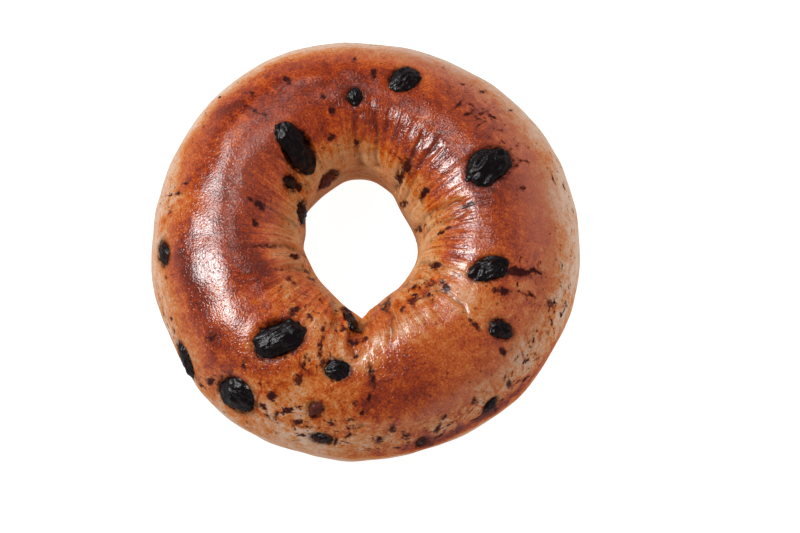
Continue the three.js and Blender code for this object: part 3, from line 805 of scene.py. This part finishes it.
crustLook = {
    "tones": [  # toastedness and colour on screen
        (0.00, (224, 192, 168)),
        (0.20, (218, 168, 136)),
        (0.40, (212, 132, 68)),
        (0.60, (200, 90, 24)),
        (0.80, (160, 56, 20)),
        (1.00, (108, 34, 18)),
    ],
    "smudge": (50, 17, 19),
    "halo": (120, 46, 26),
    "speck": (84, 36, 24),
    # painted shade in the grooves of the fine wrinkles
    "wrinkle": (116, 44, 28),
    "underside": (166, 98, 60),
    # painted sheen: a mauve that stands in for the glaze's hazy reflection
    "paintedSheen": (170, 108, 94),
    # painted shade in the furrows and round the raisins
    "pocket": (52, 18, 14),
    "innerTint": (1.12, 0.94, 0.6, 1.0),
    # painted shade down the wall of the hole
    "wallShade": (0.66, 0.66, 0.7, 1.0),
    "noises": {  # coordinates, size in millimetres, detail, roughness, swirl
        "grain": ("place", 0.5, 3.0, 0.7, 0.0),
        "mottle": ("place", 1.8, 4.0, 0.65, 0.0),
        "clouds": ("place", 8.0, 2.0, 0.5, 0.0),
        "patches": ("place", 4.5, 6.0, 0.68, 0.8),
        "streaks": ("acrossGrain", 1.6, 3.0, 0.6, 0.0),
        "fibres": ("alongGrain", 1.2, 4.0, 0.65, 0.0),
        "ragged": ("place", 1.4, 3.0, 0.6, 0.6),
        "strays": ("mixedGrain", 3.4, 4.0, 0.62, 0.0),
        "lines": ("acrossGrain", 2.4, 2.0, 0.5, 0.0),
        "fineGrain": ("place", 0.5, 1.0, 0.5, 0.0),
        "fineFolds": ("acrossGrain", 0.75, 2.0, 0.6, 0.0),
    },
    "toneShares": {  # how far each noise stirs the browning
        "grain": 0.9,
        "mottle": 0.55,
        "clouds": 0.5,
        "patches": 1.0,
        "streaks": 0.8,
        "fibres": 0.6,
    },
    "spans": {  # a value's low and high, and what they turn into
        "patches": (0.0, 1.0, 0.2, 2.2),
        "fibres": (0.2, 0.6, 1.0, 0.2),
        "tray": (-0.15, 0.15, 0.45, 0.85),
        "strays": (0.02, 0.16, 0.0, 0.75),
        "halo": (0.0, 0.6, 0.0, 0.8),
        "haloWithin": (0.0, 0.3, 0.0, 1.0),
        "heart": (0.3, 0.7, 0.0, 0.95),
        "heartWithin": (0.05, 0.3, 0.0, 1.0),
        "lines": (0.0, 0.03, 1.0, 0.0),
        "linesWithin": (-0.1, 0.1, 0.0, 1.0),
        "specks": (-0.1, 0.1, 1.0, 0.72),
        "pockets": (-0.15, 0.1, 0.35, 1.0),
        "pits": (0.05, 0.4, -0.5, 0.0),
        "roughness": (0.1, 0.8, 0.6, 0.34),
        "shine": (0.25, 0.6, 0.15, 1.0),
        "shineIfDull": (0.0, 1.0, 1.0, 0.12),
        "shineIfMarked": (0.0, 1.0, 1.0, 0.2),
    },
    "palestPatch": -0.16,
    "raggedness": 2.2,
    "wrinkleShadeStrength": 0.55,
    "creaseShadeStrength": 0.6,
    "speckSpacing": 1.3,  # millimetres
    "speckSize": 0.26,  # the largest, over the spacing
    "speckStrength": 0.7,
    "pitSpacing": 0.8,  # millimetres
    "pitRaggedness": 0.6,
    "grainBump": 0.9,
    "foldBump": 0.9,
    "lineBump": -1.6,
    "bumpHeight": 0.075,  # millimetres
    "mottledRoughness": 0.3,
    "specular": 0.03,
    "coatIor": 1.9,
    "coatRoughness": 0.14,
}


def crustSources(tree):
    # what the crust's colour and gloss are made from: coordinates, attributes and noises
    crust = {"place": put(tree, "ShaderNodeTexCoord").outputs["Object"]}
    for name in ("acrossGrain", "alongGrain"):
        crust[name] = readAttribute(tree, name, "Vector")
    for name in ("toast", "below", "smudge", "strewn", "crease", "pocket", "wrinkled", "dull", "inner",
                 "wall", "glaze", "paintedSheen"):
        crust[name] = readAttribute(tree, name)
    both = {0: crust["place"], 1: crust["alongGrain"]}
    crust["mixedGrain"] = put(tree, "ShaderNodeVectorMath", both, operation="ADD").outputs[0]
    for name, (coordinates, size, detail, roughness, swirl) in crustLook["noises"].items():
        crust[name] = noiseAround(tree, crust[coordinates], size * mm, detail, roughness, swirl=swirl)
    return crust


def spanned(tree, name, value, smooth=False):
    return mapped(tree, value, *crustLook["spans"][name], smooth=smooth)


def painted(tree, share, colour, name):
    return mixed(tree, share, colour, screenColour(*crustLook[name]))


def crustTone(tree, crust):
    # the browning, stirred by noises, then turned into colour
    stirred = dict(crust)
    patched = times(tree, crust["patches"], spanned(tree, "patches", crust["strewn"]))
    stirred["patches"] = maths(tree, "MAXIMUM", patched, crustLook["palestPatch"])
    stirred["streaks"] = times(tree, crust["streaks"], crust["wrinkled"])
    stirred["fibres"] = times(tree, crust["fibres"], spanned(tree, "fibres", crust["toast"]))
    tone = crust["toast"]
    for name, share in crustLook["toneShares"].items():
        tone = maths(tree, "MULTIPLY_ADD", stirred[name], share, tone)
    colour = colourRamp(tree, tone, crustLook["tones"])
    # creamier round the hole, painted shade down its wall, a painted mauve sheen in places, browner
    # underneath
    colour = mixed(tree, crust["inner"], colour, crustLook["innerTint"], "MULTIPLY")
    colour = mixed(tree, crust["wall"], colour, crustLook["wallShade"], "MULTIPLY")
    colour = painted(tree, crust["paintedSheen"], colour, "paintedSheen")
    tray = times(tree, crust["below"], spanned(tree, "tray", crust["patches"]))
    return painted(tree, tray, colour, "underside")


def crustMarks(tree, crust, colour):
    # a ragged dark heart in a reddish halo, and strays where the crust is strewn with them
    stray = spanned(tree, "strays", times(tree, crust["strays"], crust["strewn"]))
    drawn = maths(tree, "MAXIMUM", crust["smudge"], stray)
    torn = maths(tree, "MULTIPLY_ADD", crust["ragged"], crustLook["raggedness"], drawn)
    halo = spanned(tree, "halo", torn, smooth=True)
    halo = times(tree, halo, spanned(tree, "haloWithin", drawn))
    heart = times(tree, spanned(tree, "heart", torn), spanned(tree, "heartWithin", drawn))
    colour = painted(tree, halo, colour, "halo")
    return painted(tree, heart, colour, "smudge"), heart


def crustLines(tree, crust):
    # thin wrinkles across the slope to the hole
    lines = spanned(tree, "lines", maths(tree, "ABSOLUTE", crust["lines"]))
    lines = times(tree, lines, crust["wrinkled"])
    return times(tree, lines, spanned(tree, "linesWithin", crust["mottle"]))


def crustSpecks(tree, crust):
    # specks of cinnamon, in the browner clouds
    cells = cellPattern(tree, crust["place"], crustLook["speckSpacing"])
    chance = put(tree, "ShaderNodeSeparateColor", {0: cells["Color"]}).outputs[0]
    near = maths(tree, "LESS_THAN", cells["Distance"], times(tree, chance, crustLook["speckSize"]))
    some = maths(tree, "GREATER_THAN", chance, spanned(tree, "specks", crust["clouds"]))
    return times(tree, times(tree, near, some), crustLook["speckStrength"])


def paintedPocketShade(tree, crust):
    # painted shade in the furrows and in the pockets round the raisins
    dark = times(tree, crust["crease"], crustLook["creaseShadeStrength"])
    dark = maths(tree, "MAXIMUM", crust["pocket"], dark)
    return times(tree, dark, spanned(tree, "pockets", crust["ragged"]))


def crustBumps(tree, crust, lines):
    # small pits and a fine grain, and fine wrinkles round the hole
    cells = cellPattern(tree, crust["place"], crustLook["pitSpacing"])
    cells = maths(tree, "MULTIPLY_ADD", crust["grain"], crustLook["pitRaggedness"], cells["Distance"])
    bumps = spanned(tree, "pits", cells, smooth=True)
    bumps = maths(tree, "MULTIPLY_ADD", crust["fineGrain"], crustLook["grainBump"], bumps)
    folds = times(tree, crust["wrinkled"], crustLook["foldBump"])
    bumps = maths(tree, "MULTIPLY_ADD", crust["fineFolds"], folds, bumps)
    return maths(tree, "MULTIPLY_ADD", lines, crustLook["lineBump"], bumps)


def crustShine(tree, crust, heart):
    # pale dough and the underside stay matte, browned crust shines, marks and pockets shine less
    dull = maths(tree, "MAXIMUM", crust["below"], crust["dull"])
    marked = maths(tree, "MAXIMUM", heart, crust["pocket"])
    shine = times(tree, spanned(tree, "shine", crust["toast"]), spanned(tree, "shineIfDull", dull))
    shine = times(tree, shine, spanned(tree, "shineIfMarked", marked))
    return maths(tree, "MINIMUM", times(tree, shine, crust["glaze"]), 1.0)


def crustMaterial():
    material, tree = newMaterial("crust")
    crust = crustSources(tree)
    colour, heart = crustMarks(tree, crust, crustTone(tree, crust))
    lines = crustLines(tree, crust)
    # painted shade in the grooves of the fine wrinkles
    colour = painted(tree, times(tree, lines, crustLook["wrinkleShadeStrength"]), colour, "wrinkle")
    colour = painted(tree, crustSpecks(tree, crust), colour, "speck")
    # painted shade in the furrows and round the raisins
    colour = painted(tree, paintedPocketShade(tree, crust), colour, "pocket")
    rough = spanned(tree, "roughness", crust["toast"])
    rough = maths(tree, "MULTIPLY_ADD", crust["mottle"], crustLook["mottledRoughness"], rough)
    shine = crustShine(tree, crust, heart)
    coatedSurface(tree, crustLook, colour, rough, shine, crustBumps(tree, crust, lines))
    return material


raisinLook = {
    "skin": (14, 7, 10),
    "ridge": (38, 15, 18),
    "veil": (96, 46, 38),
    "patchSize": 1.8,  # millimetres
    "fineSize": 0.5,
    "noiseDetail": (3.0, 0.6),  # of both noises, and the roughness of their details
    "ridges": (0.0, 0.3, 0.0, 0.8),  # a value's low and high, and what they turn into
    "veiled": (0.2, 0.6, 0.0, 1.0),
    "roughness": (-0.3, 0.3, 0.3, 0.5),
    "shine": (0.0, 1.0, 0.85, 0.25),
    "veilRaggedness": 1.2,
    "bumpHeight": 0.13,  # millimetres
    "specular": 0.0,
    "coatIor": 1.5,
    "coatRoughness": 0.09,
}


def raisinMaterial():
    look = raisinLook
    material, tree = newMaterial("raisin")
    place = put(tree, "ShaderNodeTexCoord").outputs["Object"]
    patches = noiseAround(tree, place, look["patchSize"] * mm, *look["noiseDetail"])
    fine = noiseAround(tree, place, look["fineSize"] * mm, *look["noiseDetail"])
    ridges = mapped(tree, patches, *look["ridges"])
    colour = mixed(tree, ridges, screenColour(*look["skin"]), screenColour(*look["ridge"]))
    veil = maths(tree, "MULTIPLY_ADD", patches, look["veilRaggedness"], readAttribute(tree, "veil"))
    veiled = mapped(tree, veil, *look["veiled"])
    colour = mixed(tree, veiled, colour, screenColour(*look["veil"]))
    rough = mapped(tree, patches, *look["roughness"])
    coatedSurface(tree, look, colour, rough, mapped(tree, veiled, *look["shine"]), fine)
    return material


# The photograph's view: the bagel lies a little left of the middle and above it
view = {
    "elevation": 73.0,
    "lens": 85.0,
    "sensor": 36.0,
    "nearest": 0.01,  # metres
    "imageSize": (800, 533),
    "bagelAt": (363.0, 250.0),  # pixel of the ring's middle
    "pixelsPerMm": 4.076,
}


def addCamera():
    data = bpy.data.cameras.new("camera")
    data.lens = view["lens"]
    data.sensor_width = view["sensor"]
    data.clip_start = view["nearest"]
    camera = bpy.data.objects.new("camera", data)
    scene.collection.objects.link(camera)
    tilt = math.radians(view["elevation"])
    forward = Vector((0, math.cos(tilt), -math.sin(tilt)))
    upward = Vector((0, math.sin(tilt), math.cos(tilt)))
    width, height = view["imageSize"]
    scale = view["pixelsPerMm"] / mm
    distance = width * view["lens"] / view["sensor"] / scale
    middle = Vector(ringSizes["middle"]) + Vector((0, 0, ringSizes["waistHeight"]))
    aside = Vector(((width / 2 - view["bagelAt"][0]) / scale, 0, 0))
    lowered = upward * (height / 2 - view["bagelAt"][1]) / scale
    camera.location = middle * mm - forward * distance + aside - lowered
    camera.rotation_euler = forward.to_track_quat("-Z", "Y").to_euler()
    scene.camera = camera


lights = {
    # each: the side it comes from, size in metres, power in watts, whether the glaze mirrors it
    "lamps": [
        ((-0.61, 0.08, 0.79), 0.36, 1.8, True),
        ((-0.61, 0.13, 0.78), 0.12, 0.4, True),
        ((-0.48, 0.47, 0.74), 0.14, 0.26, True),
        ((-0.06, 0.35, 0.94), 0.12, 0.12, True),
        ((-0.22, 0.67, 0.71), 0.16, 0.28, True),
        ((0.86, 0.1, 0.5), 1.0, 2.0, False),
        ((0.1, 0.85, 0.5), 0.8, 0.5, False),
    ],
    "distance": 0.6,
    "aimedAt": (0.0, 0.0, 0.02),
    "skyLow": 0.5,
    "skyHigh": 0.1,
    "skyTurn": (0.0, 0.35),  # how far up the glow of the horizon reaches
    "skyBelow": 0.25,
}


def addLights():
    for side, size, power, mirrored in lights["lamps"]:
        data = bpy.data.lights.new("softLight", "AREA")
        data.shape = "DISK"
        data.size = size
        data.energy = power
        lamp = bpy.data.objects.new("softLight", data)
        lamp.visible_glossy = mirrored
        scene.collection.objects.link(lamp)
        direction = Vector(side).normalized()
        lamp.location = direction * lights["distance"] + Vector(lights["aimedAt"])
        lamp.rotation_euler = direction.to_track_quat("Z", "Y").to_euler()
    world = bpy.data.worlds.new("studio")
    scene.world = world
    world.use_nodes = True
    tree = world.node_tree
    tree.nodes.clear()
    direction = put(tree, "ShaderNodeTexCoord").outputs["Generated"]
    up = put(tree, "ShaderNodeSeparateXYZ", {0: direction}).outputs[2]
    strength = mapped(tree, up, *lights["skyTurn"], lights["skyLow"], lights["skyHigh"], smooth=True)
    below = maths(tree, "LESS_THAN", up, 0.0)
    below = times(tree, below, lights["skyBelow"] - lights["skyLow"])
    strength = maths(tree, "ADD", strength, below)
    sky = put(tree, "ShaderNodeBackground", {"Color": (1, 1, 1, 1), "Strength": strength})
    put(tree, "ShaderNodeOutputWorld", {"Surface": sky.outputs[0]})
    scene.view_settings.view_transform = "Standard"


table = {"half": 1.5, "shade": 0.25, "roughness": 0.9, "glow": 0.95}


def addFloor():
    mesh = bpy.data.meshes.new("floor")
    half, shade = table["half"], table["shade"]
    corners = [(-half, -half, 0), (half, -half, 0), (half, half, 0), (-half, half, 0)]
    mesh.from_pydata(corners, [], [(0, 1, 2, 3)])
    floor = bpy.data.objects.new("floor", mesh)
    scene.collection.objects.link(floor)
    material, tree = newMaterial("paleTable")
    shader = put(tree, "ShaderNodeBsdfPrincipled", {
        "Base Color": (shade, shade, shade, 1),
        "Roughness": table["roughness"],
        "Emission Color": (1, 1, 1, 1),
        "Emission Strength": table["glow"],
    })
    put(tree, "ShaderNodeOutputMaterial", {"Surface": shader.outputs[0]})
    mesh.materials.append(material)
    floor.visible_glossy = False  # the glaze mirrors the lamps and the room, not the table


addCamera()
addLights()
addFloor()
print("stage: camera, light and table")

doughPiece(crustMaterial())
raisinSkin = raisinMaterial()
raisinShapes = raisinTree()
for number, row in enumerate(raisins, 1):
    raisinPiece(number, row, raisinShapes, raisinSkin)
print("raisins:", len(raisins))
